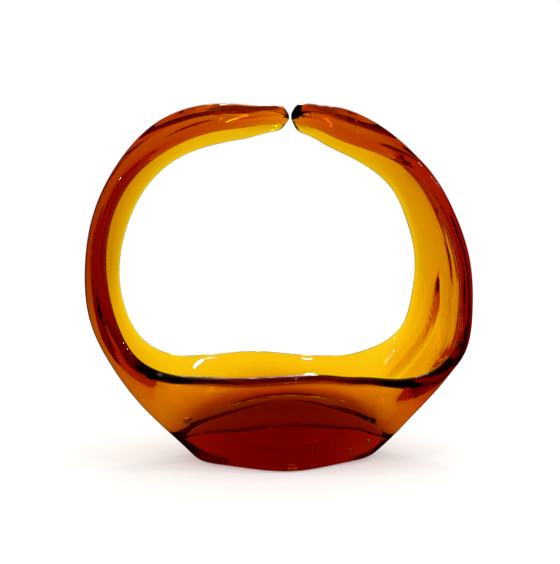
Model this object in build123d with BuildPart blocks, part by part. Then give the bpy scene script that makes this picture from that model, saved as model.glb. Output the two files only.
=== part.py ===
"""Art glass bowl, hot-worked from one gather of amber glass.

A thick solid base with a flat foot flares into a low bowl.  Its two ends are drawn up into
channel-shaped horns that curl over and nearly touch, so that they make a ring-shaped handle.
Millimetres, +Z up, front at -Y, origin at the middle of the foot's flat face.

The glass is described by stations, from the left tip down under the bowl and up to the right tip.
Each station is a crescent section in a plane that holds the Y direction: it starts at the keel,
the outermost line of the glass, and opens towards the rim, where the two lips end.
"""

import os
from math import cos, hypot, radians, sin
from typing import NamedTuple

from build123d import *

os.makedirs("parts", exist_ok=True)

# Driving dimensions
BASE_HEIGHT = 18.0  # top of the solid base, just under the floor of the hollow
FOOT_EDGE = 2.5  # rounding between the flat foot and the wall
LIP_REACH = 0.4  # how far a lip's own direction carries down the outside of the wall
TIP_ROUND = 0.48  # largest lip radius, as a share of a tip's width or depth


class Station(NamedTuple):
    """One crescent section.  Points are (x, z); the twist turns the hollow towards the front."""

    keel: tuple
    rim: tuple
    half_width: float
    wall: float  # at the keel
    lip: float  # thickness of the rounded lip
    lip_lean: float  # degrees: 90 is a lip that stands straight up from the keel
    fullness: float  # how boxy the outside is: 0.5 is a gentle bow, above 1 a flat bottom
    twist: float  # degrees
    hollow: float  # how round the hollow is: near 0 is a V, above 0.5 a broad flat floor


LEFT_HORN = [
    Station((5.6, 221.5), (5.6, 218.5), 2.5, 2.5, 2.5, 60, 0.5, 0, 0.3),
    Station((1.8, 226.5), (1.4, 213.8), 9.3, 11, 6, 51, 0.45, 9, 0.15),
    Station((-4.5, 227.3), (-4.5, 212.8), 12, 12.8, 7, 43, 0.38, 13, 0.12),
    Station((-20, 228), (-17, 210.5), 15, 14, 7.5, 39, 0.33, 14.5, 0.1),
    Station((-46, 228), (-37.5, 207), 19, 13.5, 8, 38, 0.34, 13, 0.08),
    Station((-78, 216.5), (-64.5, 198), 24, 13.5, 8, 40, 0.33, 9.5, 0.08),
    Station((-103.5, 189.5), (-88.5, 178.5), 29.5, 12.5, 7.4, 40, 0.3, 9, 0.09),
    Station((-118.5, 159), (-102, 153), 32, 12.5, 7, 39, 0.3, 8, 0.1),
    Station((-124.5, 125), (-106.8, 124), 35, 12, 7, 37, 0.32, 4, 0.08),
    Station((-122, 91), (-102.8, 96), 37.5, 10, 7, 38, 0.38, 1.5, 0.12),
]
LEFT_SHOULDER = Station((-108.5, 61), (-90.5, 72.5), 41.5, 8.5, 6.5, 42, 0.42, 0.5, 0.18)
BOWL = [
    Station((-88, 33), (-69, 61.5), 45, 7.5, 7.5, 50, 0.5, -0.5, 0.32),
    Station((-61.5, 7), (-46, 60.5), 48, 14, 8, 57, 0.7, 0, 0.45),
    Station((-51, -2.5), (-38, 60.5), 49, 24.5, 8, 60, 0.75, 0.5, 0.5),
    Station((-35, -8), (-25, 61), 50, 30.5, 8, 60, 0.95, 1, 0.5),
    Station((2, -15), (0, 61), 50.5, 37, 8, 60, 1.4, 0, 0.5),
    Station((38, -8), (27, 59.5), 50, 30.5, 8, 60, 0.95, -1.5, 0.5),
    Station((55, -2.5), (39, 59), 49, 24.5, 8, 60, 0.75, -0.5, 0.5),
    Station((65.5, 5), (49, 59), 48, 14, 8, 57, 0.7, 0, 0.45),
    Station((86, 25), (67, 60.5), 45, 9.5, 7.5, 51, 0.5, 5, 0.3),
]
RIGHT_SHOULDER = Station((103, 46), (84, 66), 42.5, 12, 7.3, 44, 0.42, 11, 0.12)
RIGHT_HORN = [
    Station((113.5, 71.5), (97, 79), 39.5, 11.5, 8, 35, 0.33, 16, 0.07),
    Station((117, 98), (101.5, 101), 35.5, 12, 8.8, 34, 0.32, 17, 0.07),
    Station((115.2, 131), (101.2, 129), 32.5, 12, 8.7, 38, 0.32, 15.5, 0.07),
    Station((103.5, 165.5), (91.5, 159.5), 28, 12, 8.7, 38, 0.34, 15.5, 0.08),
    Station((87, 194.5), (76.5, 181.5), 25, 13, 9.2, 39, 0.34, 14.5, 0.08),
    Station((63, 216), (51, 196.5), 21.5, 13.5, 9.5, 43, 0.33, 10, 0.07),
    Station((40, 226), (32, 204.5), 18, 14, 9.2, 46, 0.32, 9, 0.07),
    Station((22, 228.2), (18.5, 211), 15, 14.5, 8, 50, 0.38, 10, 0.12),
    Station((11.2, 227.8), (11, 214), 10.3, 12, 6.5, 54, 0.45, 8, 0.15),
    Station((7.4, 222.7), (7.4, 219), 2.5, 2.5, 2.5, 60, 0.5, 0, 0.3),
]


def across(station):
    """Unit vector from the keel to the rim, and the distance between them."""
    dx = station.rim[0] - station.keel[0]
    dz = station.rim[1] - station.keel[1]
    depth = hypot(dx, dz)
    return Vector(dx / depth, 0, dz / depth), depth


def section_plane(station):
    """The section's own plane: x runs to the back lip, y from the keel to the rim."""
    inward, depth = across(station)
    middle = Vector(station.keel[0], 0, station.keel[1]) + inward * (depth / 2)
    to_back = Vector(0, 1, 0)
    turn = radians(station.twist)
    return Plane(
        origin=middle,
        x_dir=to_back * cos(turn) + inward * sin(turn),
        z_dir=to_back.cross(inward),
    )


def crescent(station):
    """Draw the crescent: outside half, rounded lip and inside half, then their mirror image."""
    depth = across(station)[1]
    width = station.half_width
    radius = min(station.lip / 2, TIP_ROUND * width, TIP_ROUND * depth)
    lean = radians(station.lip_lean)
    along = Vector(cos(lean), sin(lean))
    outward = Vector(sin(lean), -cos(lean))
    lip_centre = Vector(width - radius, depth / 2 - radius)
    outer_end = lip_centre + outward * radius
    inner_end = lip_centre - outward * radius
    inner_end.X = max(inner_end.X, 0.15 * width)
    keel = Vector(0, -depth / 2)
    floor = Vector(0, station.wall - depth / 2)
    hollow_width = max(width - station.lip, 0.2 * width)
    hollow_depth = max(depth - station.wall, 0.5)
    outer_reach = LIP_REACH * min(depth, width)
    inner_reach = station.hollow * min(hollow_depth, hollow_width)
    floor_reach = station.hollow * hollow_width

    Bezier(keel, keel + Vector(station.fullness * width, 0), outer_end - along * outer_reach, outer_end)
    ThreePointArc(outer_end, lip_centre + along * radius, inner_end)
    Bezier(inner_end, inner_end - along * inner_reach, floor + Vector(floor_reach, 0), floor)
    mirror(about=Plane.YZ)


# The whole glass as one flowing body, cut flat at the foot
with BuildPart() as glass:
    for station in LEFT_HORN + [LEFT_SHOULDER] + BOWL + [RIGHT_SHOULDER] + RIGHT_HORN:
        with BuildSketch(section_plane(station)):
            with BuildLine():
                crescent(station)
            make_face()
    loft()
    split(bisect_by=Plane.XY, keep=Keep.TOP)
    foot_face = glass.faces().filter_by(GeomType.PLANE).sort_by(Axis.Z)[0]
    fillet(foot_face.edges(), FOOT_EDGE)

# The regions of the glass.  Each one meets its neighbours face to face, on the shared planes.
left_cut = section_plane(LEFT_SHOULDER)
right_cut = section_plane(RIGHT_SHOULDER)
tip_gap = Plane.YZ.offset((LEFT_HORN[0].keel[0] + RIGHT_HORN[-1].keel[0]) / 2)

with BuildPart() as left_horn:
    add(glass.part)
    split(bisect_by=tip_gap, keep=Keep.BOTTOM)
    split(bisect_by=left_cut, keep=Keep.BOTTOM)

with BuildPart() as right_horn:
    add(glass.part)
    split(bisect_by=tip_gap, keep=Keep.TOP)
    split(bisect_by=right_cut, keep=Keep.TOP)

with BuildPart() as bowl_wall:
    add(glass.part)
    split(bisect_by=left_cut, keep=Keep.TOP)
    split(bisect_by=right_cut, keep=Keep.BOTTOM)
    split(bisect_by=Plane.XY.offset(BASE_HEIGHT), keep=Keep.TOP)

with BuildPart() as solid_base:
    add(glass.part)
    split(bisect_by=Plane.XY.offset(BASE_HEIGHT), keep=Keep.BOTTOM)

left_horn.part.label = "left_horn"
right_horn.part.label = "right_horn"
bowl_wall.part.label = "bowl_wall"
solid_base.part.label = "solid_base"
for region in (left_horn, right_horn, bowl_wall, solid_base):
    export_step(region.part, f"parts/{region.part.label}.step")
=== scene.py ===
# %% [markdown]
# An art glass bowl in Blender.
# The real bowl is one continuous piece of hot amber glass: a solid foot, a low bowl, and two ends
# drawn up into channel-shaped horns that curl over and nearly touch. Here it is built as one
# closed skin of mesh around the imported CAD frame, filled with light-absorbing glass.
# Everything is in metres, with +Z up and the front towards -Y.

# %% Load the frame
from math import cos, hypot, pi, radians, sin

import bmesh
import bpy
import numpy as np
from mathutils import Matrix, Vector
from mathutils.bvhtree import BVHTree


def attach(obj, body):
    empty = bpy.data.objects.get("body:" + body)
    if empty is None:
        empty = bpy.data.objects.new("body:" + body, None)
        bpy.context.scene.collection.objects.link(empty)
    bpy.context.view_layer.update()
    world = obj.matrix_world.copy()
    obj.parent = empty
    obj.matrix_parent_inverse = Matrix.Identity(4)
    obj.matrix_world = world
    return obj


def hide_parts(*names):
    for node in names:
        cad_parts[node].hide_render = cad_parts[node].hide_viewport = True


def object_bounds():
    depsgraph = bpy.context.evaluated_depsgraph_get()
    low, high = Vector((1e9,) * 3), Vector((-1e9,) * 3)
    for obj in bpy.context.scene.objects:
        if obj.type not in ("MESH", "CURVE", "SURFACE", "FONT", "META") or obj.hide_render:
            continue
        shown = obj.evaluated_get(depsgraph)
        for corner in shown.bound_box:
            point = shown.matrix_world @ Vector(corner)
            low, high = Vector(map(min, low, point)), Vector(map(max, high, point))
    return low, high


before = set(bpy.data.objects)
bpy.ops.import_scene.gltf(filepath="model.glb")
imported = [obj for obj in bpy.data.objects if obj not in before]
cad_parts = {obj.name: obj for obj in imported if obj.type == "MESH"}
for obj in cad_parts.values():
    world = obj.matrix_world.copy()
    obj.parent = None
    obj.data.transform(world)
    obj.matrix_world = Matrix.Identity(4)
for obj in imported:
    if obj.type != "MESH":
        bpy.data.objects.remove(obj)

cad_low, cad_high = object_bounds()
mm = 0.001
print("CAD box, mm:", [round((high - low) / mm, 1) for low, high in zip(cad_low, cad_high)])

# %% [markdown]
# How is such a form described? A glassmaker thinks of it as a gather that was opened and pulled, so
# its shape flows along one path: from the left tip, down the left horn, under the bowl and up the
# right horn. Across that path it is always a crescent, thick at the keel and rounded at two lips.
# So the skin is a loft. A list of stations gives the crescent at a few places, and a smooth curve
# runs through each of their values. This keeps the highlights unbroken, which matters in glass:
# a kink that nobody would see on plaster shows at once in a reflection.
# The wall and the shape of the hollow decide the colour bands, because amber glass is yellow where
# it is thin and dark red where light has to cross a lot of it.

# %% The stations
# keel x and z, rim x and z, half width, wall, lip, lip lean (degrees), fullness, twist (degrees),
# and the roundness of the hollow: near 0 it is a V, above 0.5 it has a broad flat floor
STATIONS = np.array([
    [5.6, 221.5, 5.6, 218.5, 2.5, 2.5, 2.5, 60, 0.5, 0, 0.3],
    [1.8, 226.5, 1.4, 213.8, 9.3, 11, 6, 51, 0.45, 9, 0.15],
    [-4.5, 227.3, -4.5, 212.8, 12, 12.8, 7, 43, 0.38, 13, 0.12],
    [-20, 228, -17, 210.5, 15, 14, 7.5, 39, 0.33, 14.5, 0.1],
    [-46, 228, -37.5, 207, 19, 13.5, 8, 38, 0.34, 13, 0.08],
    [-78, 216.5, -64.5, 198, 24, 13.5, 8, 40, 0.33, 9.5, 0.08],
    [-103.5, 189.5, -88.5, 178.5, 29.5, 12.5, 7.4, 40, 0.3, 9, 0.09],
    [-118.5, 159, -102, 153, 32, 12.5, 7, 39, 0.3, 8, 0.1],
    [-124.5, 125, -106.8, 124, 35, 12, 7, 37, 0.32, 4, 0.08],
    [-122, 91, -102.8, 96, 37.5, 10, 7, 38, 0.38, 1.5, 0.12],
    [-108.5, 61, -90.5, 72.5, 41.5, 8.5, 6.5, 42, 0.42, 0.5, 0.18],
    [-88, 33, -69, 61.5, 45, 7.5, 7.5, 50, 0.5, -0.5, 0.32],
    [-61.5, 7, -46, 60.5, 48, 14, 8, 57, 0.7, 0, 0.45],
    [-51, -2.5, -38, 60.5, 49, 24.5, 8, 60, 0.75, 0.5, 0.5],
    [-35, -8, -25, 61, 50, 30.5, 8, 60, 0.95, 1, 0.5],
    [2, -15, 0, 61, 50.5, 37, 8, 60, 1.4, 0, 0.5],
    [38, -8, 27, 59.5, 50, 30.5, 8, 60, 0.95, -1.5, 0.5],
    [55, -2.5, 39, 59, 49, 24.5, 8, 60, 0.75, -0.5, 0.5],
    [65.5, 5, 49, 59, 48, 14, 8, 57, 0.7, 0, 0.45],
    [86, 25, 67, 60.5, 45, 9.5, 7.5, 51, 0.5, 5, 0.3],
    [103, 46, 84, 66, 42.5, 12, 7.3, 44, 0.42, 11, 0.12],
    [113.5, 71.5, 97, 79, 39.5, 11.5, 8, 35, 0.33, 16, 0.07],
    [117, 98, 101.5, 101, 35.5, 12, 8.8, 34, 0.32, 17, 0.07],
    [115.2, 131, 101.2, 129, 32.5, 12, 8.7, 38, 0.32, 15.5, 0.07],
    [103.5, 165.5, 91.5, 159.5, 28, 12, 8.7, 38, 0.34, 15.5, 0.08],
    [87, 194.5, 76.5, 181.5, 25, 13, 9.2, 39, 0.34, 14.5, 0.08],
    [63, 216, 51, 196.5, 21.5, 13.5, 9.5, 43, 0.33, 10, 0.07],
    [40, 226, 32, 204.5, 18, 14, 9.2, 46, 0.32, 9, 0.07],
    [22, 228.2, 18.5, 211, 15, 14.5, 8, 50, 0.38, 10, 0.12],
    [11.2, 227.8, 11, 214, 10.3, 12, 6.5, 54, 0.45, 8, 0.15],
    [7.4, 222.7, 7.4, 219, 2.5, 2.5, 2.5, 60, 0.5, 0, 0.3],
])
print("stations:", len(STATIONS), "widest, mm:", 2 * STATIONS[:, 4].max())


# %% [markdown]
# The curve through the stations is a natural cubic spline. It passes through every station and its
# bend changes smoothly, like a springy strip held at each point. The knots are the distances
# between stations along the glass, so a long gap gets a long, easy curve.

# %% A smooth curve through the stations
def natural_spline(knots, values, where):
    """Cubic curve through values at the knots, with no bend at its two ends."""
    gaps = np.diff(knots)
    slopes = np.diff(values, axis=0) / gaps[:, None]
    count = len(knots)
    system = np.eye(count)
    target = np.zeros_like(values)
    for k in range(1, count - 1):
        system[k, k - 1:k + 2] = gaps[k - 1], 2 * (gaps[k - 1] + gaps[k]), gaps[k]
        target[k] = 6 * (slopes[k] - slopes[k - 1])
    bends = np.linalg.solve(system, target)
    span = np.clip(np.searchsorted(knots, where, side="right") - 1, 0, count - 2)
    gap = gaps[span][:, None]
    right = ((where - knots[span])[:, None]) / gap
    left = 1 - right
    ends = left * values[span] + right * values[span + 1]
    bow = (left ** 3 - left) * bends[span] + (right ** 3 - right) * bends[span + 1]
    return ends + bow * gap ** 2 / 6


keel_steps = np.hypot(*np.diff(STATIONS[:, 0:2], axis=0).T)
rim_steps = np.hypot(*np.diff(STATIONS[:, 2:4], axis=0).T)
station_at = np.concatenate([[0], np.cumsum((keel_steps + rim_steps) / 2)])
path_length = station_at[-1]
left_shoulder, right_shoulder = station_at[10], station_at[20]
print("length of the path, mm:", round(path_length))

# %% [markdown]
# Rings cost faces, so they are close together only where the glass changes quickly: at the two
# tips, and where the jacks, a glassmaker's large tweezers, have left fine ridges across the right
# horn. Elsewhere the form is slow and a ring about every two millimetres is plenty.

# %% Where the rings go
ridges_start, ridges_end = path_length - 47, path_length - 12
# a place on the path and the gap between rings there, both in millimetres
RING_GAPS = np.array([
    [0, 0.4], [12, 0.8], [20, 2.2], [ridges_start - 4, 2.2], [ridges_start, 0.32],
    [ridges_end, 0.32], [ridges_end + 2, 0.5], [path_length - 8, 0.5], [path_length, 0.4],
])
fine = np.linspace(0, path_length, 4000)
ring_number = np.cumsum(1 / np.interp(fine, RING_GAPS[:, 0], RING_GAPS[:, 1]))
RINGS = round(ring_number[-1] * path_length / len(fine))
ring_at = np.interp(np.linspace(ring_number[0], ring_number[-1], RINGS), ring_number, fine)
print("rings:", RINGS)


# %% [markdown]
# One ring is a crescent, drawn flat. Its outside is a Bezier curve from the keel to the lip, the
# lip is a half circle, and the inside is another Bezier curve down to the floor of the hollow. The
# front half mirrors the back half. The same few numbers also shape the CAD sections, so both agree.

# %% The crescent
def bezier(p0, p1, p2, p3, steps):
    """Points along a cubic Bezier curve."""
    t = np.linspace(0, 1, steps)[:, None]
    return (1 - t) ** 3 * p0 + 3 * (1 - t) ** 2 * t * p1 + 3 * (1 - t) * t ** 2 * p2 + t ** 3 * p3


OUTSIDE_STEPS = 46
LIP_STEPS = 14
INSIDE_STEPS = 36
LIP_REACH = 0.4
# shares of the half width: the largest lip radius, the narrowest mouth and the narrowest hollow
TIP_ROUND, LEAST_MOUTH, LEAST_HOLLOW = 0.48, 0.15, 0.2
# the shallowest hollow, in millimetres
LEAST_DEPTH = 0.5


def crescent(half_width, depth, wall, lip, lean, fullness, hollow):
    """Closed outline in (across, inward): keel, back lip, floor of the hollow, front lip."""
    radius = min(lip / 2, TIP_ROUND * half_width, TIP_ROUND * depth)
    along = np.array([cos(lean), sin(lean)])
    outward = np.array([sin(lean), -cos(lean)])
    lip_centre = np.array([half_width - radius, depth - radius])
    outer_end = lip_centre + outward * radius
    inner_end = lip_centre - outward * radius
    inner_end[0] = max(inner_end[0], LEAST_MOUTH * half_width)
    hollow_width = max(half_width - lip, LEAST_HOLLOW * half_width)
    hollow_depth = max(depth - wall, LEAST_DEPTH)
    keel = np.zeros(2)
    floor = np.array([0, wall])
    outside = bezier(keel, keel + [fullness * half_width, 0],
                     outer_end - along * LIP_REACH * min(depth, half_width),
                     outer_end, OUTSIDE_STEPS)
    turn = np.linspace(0, pi, LIP_STEPS)[:, None]
    rounding = lip_centre + radius * (outward * np.cos(turn) + along * np.sin(turn))
    inside = bezier(inner_end, inner_end - along * hollow * min(hollow_depth, hollow_width),
                    floor + [hollow * hollow_width, 0], floor, INSIDE_STEPS)
    back_half = np.vstack([outside[:-1], rounding[:-1], inside])
    front_half = back_half[1:-1][::-1] * [-1, 1]
    return np.vstack([back_half, front_half])


example = crescent(half_width=50, depth=76, wall=37, lip=8, lean=radians(60), fullness=1, hollow=0.5)
print("points round a crescent:", len(example), "widest, mm:", round(2 * example[:, 0].max(), 1))


# %% [markdown]
# Each ring is set up across the path: its inward direction points from the keel to the rim, and a
# small twist turns the hollow towards the front, as the maker's hand did while the glass was soft.

# %% Loft the skin
skin = []
for keel_x, keel_z, rim_x, rim_z, half_width, wall, lip, lean, fullness, twist, hollow in \
        natural_spline(station_at, STATIONS, ring_at):
    depth = hypot(rim_x - keel_x, rim_z - keel_z)
    inward = np.array([rim_x - keel_x, 0, rim_z - keel_z]) / depth
    outline = crescent(half_width, depth, wall, lip, radians(lean), fullness, hollow)
    outline[:, 1] -= depth / 2
    turn = radians(twist)
    across = outline[:, 0] * cos(turn) - outline[:, 1] * sin(turn)
    rise = outline[:, 0] * sin(turn) + outline[:, 1] * cos(turn) + depth / 2
    ring = np.array([keel_x, 0, keel_z]) + rise[:, None] * inward
    ring[:, 1] += across
    skin.append(ring)
skin = np.array(skin)
around = skin.shape[1]
print("skin:", RINGS, "rings of", around, "points")

# %% [markdown]
# Marks of the hand come next, and they need three facts about every point of the skin: which way is
# outwards, how far along the path it lies, and how far round the ring it is from the keel (above 0
# on the back, below 0 on the front). The random numbers start from a fixed seed, so that every run
# makes the same bowl.

# %% Ways to measure on the skin
to_next_ring = np.gradient(skin, axis=0)
to_next_point = (np.roll(skin, -1, axis=1) - np.roll(skin, 1, axis=1)) / 2
normal = np.cross(to_next_ring, to_next_point)
normal /= np.maximum(np.linalg.norm(normal, axis=2, keepdims=True), 1e-9)
keel_from_side = skin[:, 0] - skin[:, around // 4]
if (normal[:, 0] * keel_from_side).sum() < 0:
    normal = -normal
step = np.linalg.norm(np.roll(skin, -1, axis=1) - skin, axis=2)
girth = np.cumsum(step, axis=1) - step
girth = np.where(girth > girth[:, -1:] / 2, girth - girth[:, -1:] - step[:, -1:], girth)
path = np.broadcast_to(ring_at[:, None], girth.shape)
seeds = np.random.default_rng(7)


def window(value, start, end, soft):
    """1 between start and end, fading smoothly to 0 over a soft distance."""
    rise = np.clip((value - start) / soft + 0.5, 0, 1)
    fall = np.clip((end - value) / soft + 0.5, 0, 1)
    return rise * rise * (3 - 2 * rise) * fall * fall * (3 - 2 * fall)


print("longest way round from the keel, mm:", round(np.abs(girth).max()),
      "step around, mm:", round(float(np.median(step)), 2))

# %% [markdown]
# Hot-worked glass is never machine smooth. Three marks of the hand are pressed into this skin:
# - flow lines that run the length of the glass, where the gather was stretched,
# - a comb of ridges across the right horn, left by the jacks that pinched it,
# - small wrinkles on top of the left horn, where the skin had chilled before the last pull.
# They are real geometry and not bump, so that they also change the outline and the thickness of the
# glass that light has to cross. All of them are less than half a millimetre high.

# %% Flow lines
FLOW_DEPTH = 0.003
BOWL_CALM = 0.75
flow = np.zeros_like(girth)
for wavelength in np.linspace(6, 26, 9):
    phase, sway_phase = seeds.uniform(0, 2 * pi, 2)
    sway = seeds.uniform(0.4, 1.2) * np.sin(2 * pi * path / seeds.uniform(120, 260) + sway_phase)
    swell = 0.6 + 0.4 * np.sin(2 * pi * path / seeds.uniform(60, 150) + phase)
    ripples = np.sin(2 * pi * girth / wavelength + phase + sway)
    flow += FLOW_DEPTH * wavelength * swell * ripples
calm = window(path, left_shoulder, right_shoulder, 50)
flow *= (1 - BOWL_CALM * calm) * window(path, 10, path_length - 10, 16)
print("flow lines, mm:", round(flow.min(), 2), "to", round(flow.max(), 2))

# %% Ridges from the jacks
RIDGE_WIDTH, RIDGE_SLANT, COMB_MIDDLE = 0.55, 0.13, -16
# one ridge stands alone, and the others follow close together
first_ridge, comb_start = ridges_start + 4, ridges_start + 11
comb = np.zeros_like(girth)
ridge_at = [first_ridge]
while ridge_at[-1] < ridges_end - 3:
    ridge_at.append(max(ridge_at[-1] + seeds.uniform(1.5, 1.9), comb_start))
for at in ridge_at:
    from_ridge = path - at - RIDGE_SLANT * (girth - COMB_MIDDLE)
    comb += seeds.uniform(0.3, 0.45) * np.exp(-(from_ridge / RIDGE_WIDTH) ** 2)
comb *= window(girth, -30, -5, 5)
print("ridges:", len(ridge_at), "highest, mm:", round(comb.max(), 2))

# %% Wrinkles
WRINKLE_DEPTH = 0.022
wrinkles = np.zeros_like(girth)
for _ in range(14):
    along_wave, around_wave = seeds.uniform(5, 16), seeds.uniform(2.6, 6)
    turns = path / along_wave + girth / around_wave
    wrinkles += WRINKLE_DEPTH * np.sin(2 * pi * turns + seeds.uniform(0, 2 * pi))
wrinkles *= window(girth, -16, 2, 6) * window(path, 22, 52, 12)
relief = flow + comb + wrinkles
print("wrinkles, mm:", round(wrinkles.min(), 2), "to", round(wrinkles.max(), 2))

# %% [markdown]
# The right shoulder has a fold: a narrow rib that runs up the inside of the horn, where the wall
# was turned over while it was pulled. Glass was drawn out of the wall beside it, so a thin, pale
# strip lies next to the rib, and a second, fainter rib follows on its other side.

# %% The fold on the right shoulder
FOLD_HEIGHT = 3
# share of that height (below 0 is a valley), distance beside the fold, and width
FOLD_BANDS = [(1, 0, 1.3), (0.4, 6, 1.0), (-1.1, -5, 2.6)]
FOLD_FROM_FLOOR, FOLD_SLANT = 20, 0.27
fold_centre = FOLD_FROM_FLOOR - FOLD_SLANT * (path - right_shoulder)
half_girth = np.abs(girth).max(axis=1, keepdims=True)
from_floor = half_girth - np.abs(girth)
on_back = girth > 0
fold = on_back * window(path, right_shoulder - 22, right_shoulder + 66, 22)
for share, beside, width in FOLD_BANDS:
    from_band = from_floor - fold_centre - beside
    relief += share * FOLD_HEIGHT * fold * np.exp(-(from_band / width) ** 2)
skin = (skin + normal * relief[..., None]) * mm
print("fold, mm high:", FOLD_HEIGHT)

# %% [markdown]
# The bowl stands on a flat foot. Every point that would go below the table is lifted onto it, with
# a small rounding at the edge, like the one a maker leaves when the foot is pressed flat.

# %% Flatten the foot
FOOT_ROUNDING = 2.5 * mm
TOUCHING = 0.001 * mm
height = skin[..., 2]
rounded = (height + FOOT_ROUNDING) ** 2 / (4 * FOOT_ROUNDING)
on_table = np.where(height < -FOOT_ROUNDING, 0, rounded)
skin[..., 2] = np.where(height > FOOT_ROUNDING, height, on_table)
foot = skin[skin[..., 2] < TOUCHING]
print("foot, mm:", (np.ptp(foot[:, :2], axis=0) / mm).round(1))


# %% [markdown]
# Seed bubbles are trapped in the glass, nearly all of them in the solid base. A bubble is a hole,
# so it is a small shell whose faces look inwards, to its own middle. It belongs to the same mesh as
# the skin: then Blender knows that light leaves the glass there.

# %% A bubble
def bubble(place, radii, steps=14):
    """Points and inward-facing faces of an egg-shaped hole."""
    tilt = np.linspace(0, pi, steps)[1:-1, None]
    spin = np.linspace(0, 2 * pi, 2 * steps, endpoint=False)[None, :]
    shell = np.stack([np.sin(tilt) * np.cos(spin), np.sin(tilt) * np.sin(spin),
                      np.cos(tilt) + 0 * spin], axis=-1) * radii + place
    rows, columns = shell.shape[:2]
    points = shell.reshape(-1, 3).tolist()
    points += [(place + [0, 0, radii[2]]).tolist(), (place - [0, 0, radii[2]]).tolist()]
    index = np.arange(rows * columns).reshape(rows, columns)
    following = np.roll(index, -1, axis=1)
    quads = np.stack([index[:-1], following[:-1], following[1:], index[1:]], axis=-1)
    faces = quads.reshape(-1, 4).tolist()
    faces += [[rows * columns, int(b), int(a)] for a, b in zip(index[0], following[0])]
    faces += [[rows * columns + 1, int(a), int(b)] for a, b in zip(index[-1], following[-1])]
    return points, faces


# middle x, y, z and radii x, y, z in millimetres
BUBBLES = [
    [53, -22, 15.5, 1.7, 1.5, 1.7], [41, -20, 10.6, 1.5, 1.3, 1.5], [15, -20, 12, 0.9, 0.9, 0.9],
    [4.6, -25, 4, 3, 1.1, 1.1], [-24, -41, 57.5, 0.55, 0.55, 0.55], [19, -18, 12.6, 0.5, 0.5, 0.5],
    [-9, -26, 9, 0.45, 0.45, 0.45], [28, -24, 17, 0.5, 0.5, 0.4], [-31, -22, 12, 0.4, 0.4, 0.4],
]
print("bubbles:", len(BUBBLES))


# %% [markdown]
# Now the rings become faces. Neighbouring rings are joined by quads, and each tip is closed by a
# fan of triangles around one point. The result must be closed, or Blender can't tell inside from
# outside and the amber colour would leak.

# %% Join the rings
def tube_faces(ring_count, ring_size):
    """Quads between neighbouring rings and a fan of triangles over each tip."""
    index = np.arange(ring_count * ring_size).reshape(ring_count, ring_size)
    following = np.roll(index, -1, axis=1)
    quads = np.stack([index[:-1], index[1:], following[1:], following[:-1]], axis=-1)
    faces = quads.reshape(-1, 4).tolist()
    first_tip, last_tip = ring_count * ring_size, ring_count * ring_size + 1
    faces += [[first_tip, int(a), int(b)] for a, b in zip(index[0], following[0])]
    faces += [[last_tip, int(b), int(a)] for a, b in zip(index[-1], following[-1])]
    return faces


tips = [skin[0].mean(axis=0).tolist(), skin[-1].mean(axis=0).tolist()]
skin_points = skin.reshape(-1, 3).tolist() + tips
skin_faces = tube_faces(RINGS, around)
print("faces of the skin:", len(skin_faces))


# %% [markdown]
# A closed mesh has a volume, and it comes out below 0 if the faces look inwards. So a trial mesh is
# measured first and its faces are turned round if they need it. Open edges are counted too.

# %% Turn the faces outwards
def volume(mesh):
    """Volume in cubic centimetres and the number of open edges."""
    probe = bmesh.new()
    probe.from_mesh(mesh)
    amount = probe.calc_volume(signed=True) * 1e6
    open_edges = sum(not edge.is_manifold for edge in probe.edges)
    probe.free()
    return amount, open_edges


trial = bpy.data.meshes.new("trial")
trial.from_pydata(skin_points, [], skin_faces)
trial_volume, open_edges = volume(trial)
if trial_volume < 0:
    skin_faces = [face[::-1] for face in skin_faces]
bpy.data.meshes.remove(trial)
print("trial, cm3:", round(trial_volume, 1), "open edges:", open_edges)

# %% [markdown]
# The bubbles join the skin in one mesh, and every face is shaded smooth: glass that was hot enough
# to flow has no sharp edges left.

# %% Make the bowl
for values in BUBBLES:
    points, faces = bubble(np.array(values[:3]) * mm, np.array(values[3:]) * mm)
    skin_faces += [[corner + len(skin_points) for corner in face] for face in faces]
    skin_points += points
glass_mesh = bpy.data.meshes.new("glass_bowl")
glass_mesh.from_pydata(skin_points, [], skin_faces)
glass_mesh.shade_smooth()
bowl = bpy.data.objects.new("glass_bowl", glass_mesh)
bpy.context.scene.collection.objects.link(bowl)
amount, open_edges = volume(glass_mesh)
print("glass, cm3:", round(amount, 1), "open edges:", open_edges)
print("triangles:", sum(len(face) - 2 for face in skin_faces))

# %% [markdown]
# The skin must stay close to the CAD solids that it stands for. Here the nearest distance from a
# sample of skin points to the CAD surfaces is measured. The largest is at the fold, which the CAD
# leaves out. Then the bowl takes over from the four regions: base, bowl wall and two horns.

# %% Fit the skin to the frame
REGIONS = ["solid_base", "bowl_wall", "left_horn", "right_horn"]
SAMPLE_STEP = 37
trees = []
for region in REGIONS:
    solid = bpy.data.objects.get(region)
    if solid is not None and solid.type == "MESH":
        placed = [solid.matrix_world @ corner.co for corner in solid.data.vertices]
        polygons = [tuple(face.vertices) for face in solid.data.polygons]
        trees.append(BVHTree.FromPolygons(placed, polygons))
if trees:
    sample = [Vector(point) for point in skin.reshape(-1, 3)[::SAMPLE_STEP]]
    misses = [min(tree.find_nearest(point)[3] for tree in trees) / mm for point in sample]
    print("skin to CAD, mm: middle", round(float(np.median(misses)), 2),
          "largest", round(max(misses), 2))
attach(bowl, "root")
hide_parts(*REGIONS)

# %% [markdown]
# Amber glass is clear glass with colour inside, not painted on it. So the surface is a plain
# glass shader and the colour is a Volume Absorption: every millimetre of glass takes away half of
# the blue, a twelfth of the green and a fiftieth of the red. That one rule makes the thin walls
# yellow, the horns orange and the solid base dark red, without painting any of them.

# %% Amber glass
GLASS_IOR = 1.5
DENSITY = 750
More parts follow.
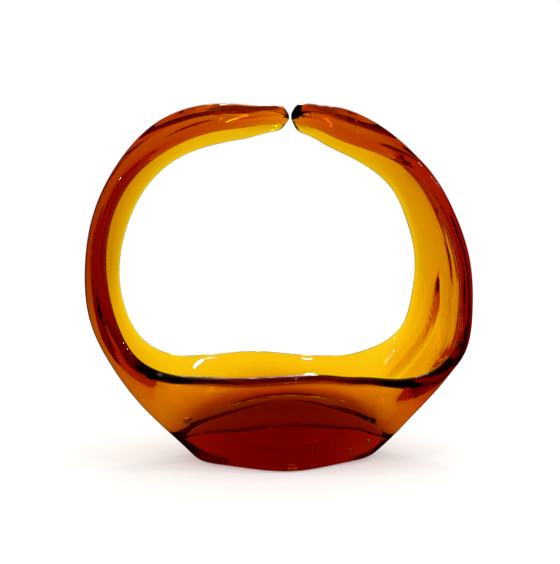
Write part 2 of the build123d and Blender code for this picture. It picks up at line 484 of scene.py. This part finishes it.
# how strongly red and green are absorbed: exp(-loss * metres of glass) of the light is left
RED_LOSS, GREEN_LOSS = 20, 86

glass = bpy.data.materials.new("amber_glass")
glass.use_nodes = True
nodes, links = glass.node_tree.nodes, glass.node_tree.links
shader = nodes["Principled BSDF"]
shader.inputs["Base Color"].default_value = (1, 1, 1, 1)
shader.inputs["IOR"].default_value = GLASS_IOR
shader.inputs["Transmission Weight"].default_value = 1.0
amber = nodes.new("ShaderNodeVolumeAbsorption")
amber.inputs["Density"].default_value = DENSITY
amber.inputs["Color"].default_value = (1 - RED_LOSS / DENSITY, 1 - GREEN_LOSS / DENSITY, 0, 1)
links.new(amber.outputs["Volume"], nodes["Material Output"].inputs["Volume"])
print("light left after 10 mm of glass: red", round(float(np.exp(-RED_LOSS * 10 * mm)), 3),
      "green", round(float(np.exp(-GREEN_LOSS * 10 * mm)), 3))


# %% [markdown]
# The skin is fire-polished, so its roughness is close to 0. Noise breaks it up a little with
# fingerprints and dust, and the flat foot is rubbed dull by years of standing. A faint bump adds
# the orange-peel ripple that is too fine for the mesh.

# %% Helpers for material nodes
def node(tree, kind, **settings):
    """New node; each setting is an input socket's value or else a property of the node."""
    made = tree.nodes.new(kind)
    for name, value in settings.items():
        if name in made.inputs:
            made.inputs[name].default_value = value
        else:
            setattr(made, name, value)
    return made


def map_range(tree, source, from_low, from_high, to_low, to_high):
    """Output socket that carries source from one range to another, clamped at both ends."""
    made = tree.nodes.new("ShaderNodeMapRange")
    limits = {"From Min": from_low, "From Max": from_high, "To Min": to_low, "To Max": to_high}
    for socket, value in limits.items():
        made.inputs[socket].default_value = value
    tree.links.new(source, made.inputs["Value"])
    return made.outputs["Result"]


tree = glass.node_tree
place = node(tree, "ShaderNodeTexCoord").outputs["Object"]
print("glass nodes so far:", len(nodes))

# %% Dust, a worn foot and a faint ripple
DUST_ROUGHNESS = 0.01
WORN_ROUGHNESS, WORN_HEIGHT = 0.12, 0.8 * mm
RIPPLE_STRENGTH, RIPPLE_HEIGHT = 0.03, 0.3 * mm
dust = node(tree, "ShaderNodeTexNoise", Scale=60.0, Detail=4.0, Roughness=0.6)
links.new(place, dust.inputs["Vector"])
smudge = map_range(tree, dust.outputs["Fac"], 0.5, 0.8, 0.0, DUST_ROUGHNESS)

split = node(tree, "ShaderNodeSeparateXYZ")
links.new(place, split.inputs["Vector"])
foot_wear = map_range(tree, split.outputs["Z"], 0.0, WORN_HEIGHT, WORN_ROUGHNESS, 0.0)
wear = node(tree, "ShaderNodeMath", operation="ADD")
links.new(smudge, wear.inputs[0])
links.new(foot_wear, wear.inputs[1])
links.new(wear.outputs["Value"], shader.inputs["Roughness"])

peel = node(tree, "ShaderNodeTexNoise", Scale=90.0, Detail=2.0)
links.new(place, peel.inputs["Vector"])
ripple = node(tree, "ShaderNodeBump", Strength=RIPPLE_STRENGTH, Distance=RIPPLE_HEIGHT)
links.new(peel.outputs["Fac"], ripple.inputs["Height"])
links.new(ripple.outputs["Normal"], shader.inputs["Normal"])
glass_mesh.materials.append(glass)
print("glass nodes:", len(nodes))

# %% [markdown]
# The bowl stands on a large sheet of white paper. The paper glows a little, so that it stays as
# bright as the air behind it and the horizon disappears; a soft shadow still shows where the foot
# touches. The paper is not seen in reflections: a shiny surface all in white would wash out the
# amber, so only the lamps make highlights.

# %% Paper
REACH = 4.0
PAPER_HEIGHT = -0.2 * mm
PAPER_GREY, PAPER_GLOW = 0.7, 0.3
corners = [(x, y, PAPER_HEIGHT) for x, y in
           ((-REACH, -REACH), (REACH, -REACH), (REACH, REACH), (-REACH, REACH))]
paper_mesh = bpy.data.meshes.new("paper")
paper_mesh.from_pydata(corners, [], [(0, 1, 2, 3)])
floor = bpy.data.objects.new("paper", paper_mesh)
bpy.context.scene.collection.objects.link(floor)
paper = bpy.data.materials.new("paper")
paper.use_nodes = True
sheet = paper.node_tree.nodes["Principled BSDF"]
sheet.inputs["Base Color"].default_value = (PAPER_GREY, PAPER_GREY, PAPER_GREY, 1)
sheet.inputs["Emission Color"].default_value = (1, 1, 1, 1)
sheet.inputs["Emission Strength"].default_value = PAPER_GLOW
sheet.inputs["Roughness"].default_value = 0.9
sheet.inputs["Specular IOR Level"].default_value = 0.0
paper_mesh.materials.append(paper)
floor.visible_glossy = False
print("paper, m:", 2 * REACH)

# %% [markdown]
# The air around the bowl is white as well, and most of the light comes from it. It shines through
# the glass but, like the paper, it is kept out of the reflections.

# %% Air
AIR_GLOW = 1.0
world = bpy.data.worlds.new("studio")
bpy.context.scene.world = world
world.use_nodes = True
air = world.node_tree.nodes["Background"]
air.inputs["Color"].default_value = (1, 1, 1, 1)
air.inputs["Strength"].default_value = AIR_GLOW
world.cycles_visibility.glossy = False
print("air brightness:", AIR_GLOW)


# %% [markdown]
# Glass shows its form by its highlights. Narrow lamps give thin, crisp lines: a long one above and
# behind edges the top of the horns, a small one in front draws the line along the rim, and one at
# each side catches the shoulders.

# %% Lamps
def lamp(name, place, aim, length, width, glow):
    """Rectangular lamp; glow is how bright its face is, next to white paper."""
    data = bpy.data.lights.new(name, "AREA")
    data.shape = "RECTANGLE"
    data.size = length
    data.size_y = width
    data.energy = glow * pi * length * width
    made = bpy.data.objects.new(name, data)
    made.location = place
    made.rotation_euler = (Vector(aim) - Vector(place)).to_track_quat("-Z", "Y").to_euler()
    bpy.context.scene.collection.objects.link(made)
    return made


lamp("behind", (0.06, 0.8, 0.84), (-0.03, 0, 0.228), 0.3, 0.03, 60)
lamp("rim_front", (0.15, -0.52, 1.02), (0, -0.05, 0.06), 0.12, 0.02, 90)
lamp("left_side", (-0.87, -0.02, 0.78), (0.08, 0.03, 0.065), 0.16, 0.03, 60)
lamp("right_side", (0.85, -0.3, 0.8), (0, 0, 0.1), 0.05, 0.30, 40)

# %% [markdown]
# The camera stands in front and a little to the left, at about four fifths of the bowl's height. It
# aims at the middle of that height, so it looks slightly down into the bowl.

# %% Camera
DISTANCE = 0.7
CAMERA_HEIGHT = 0.18
FOCAL_LENGTH = 69.75
camera_data = bpy.data.cameras.new("camera")
camera = bpy.data.objects.new("camera", camera_data)
bpy.context.scene.collection.objects.link(camera)
azimuth = radians(-5)
aim = Vector((0, 0, cad_high[2] / 2))
camera.location = (DISTANCE * sin(azimuth), -DISTANCE * cos(azimuth), CAMERA_HEIGHT)
camera.rotation_euler = (aim - camera.location).to_track_quat("-Z", "Y").to_euler()
camera_data.sensor_fit = "HORIZONTAL"
camera_data.lens = FOCAL_LENGTH
bpy.context.scene.camera = camera
print("camera height, mm:", round(camera.location.z / mm), "aim height, mm:", round(aim.z / mm, 1))

# %% [markdown]
# A ray that crosses this bowl passes four or more walls of glass, and each wall is two surfaces.
# The renderer needs enough bounces to follow it all the way, otherwise the thick parts turn black.
# The standard view keeps white paper white.

# %% Light paths and film
BOUNCES, GLOSSY_BOUNCES = 32, 12
scene = bpy.context.scene
scene.view_settings.view_transform = "Standard"
scene.cycles.max_bounces = BOUNCES
scene.cycles.transmission_bounces = BOUNCES
scene.cycles.glossy_bounces = GLOSSY_BOUNCES
scene.cycles.use_denoising = True
print("bounces:", scene.cycles.max_bounces)
